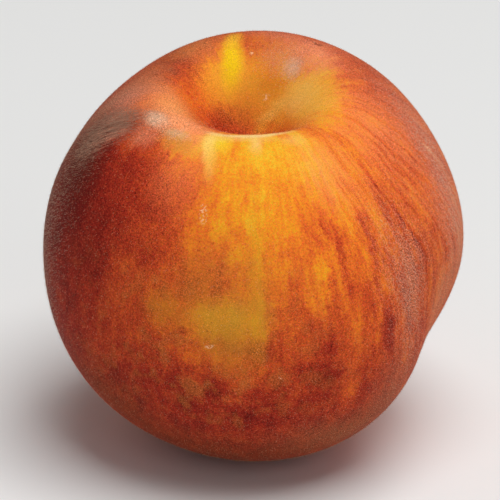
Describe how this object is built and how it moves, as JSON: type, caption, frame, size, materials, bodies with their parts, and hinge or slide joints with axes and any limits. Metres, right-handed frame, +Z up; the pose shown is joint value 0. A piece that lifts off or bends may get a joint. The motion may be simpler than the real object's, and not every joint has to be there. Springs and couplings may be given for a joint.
{
  "type": "peach",
  "caption": "Whole ripe peach with a stem hollow on top and a shallow suture down its side, resting on a small flat spot.",
  "frame": {"origin": "middle of the flat spot the fruit rests on", "axes": "+Z up; -Y towards the front, where the stem axis leans by 12 degrees; +X towards the side with the suture"},
  "size_m": [0.0741, 0.0744, 0.0726],
  "materials": {
    "skin": "matte"
  },
  "bodies": {
    "root": {"peach": "skin"}
  },
  "joints": []
}
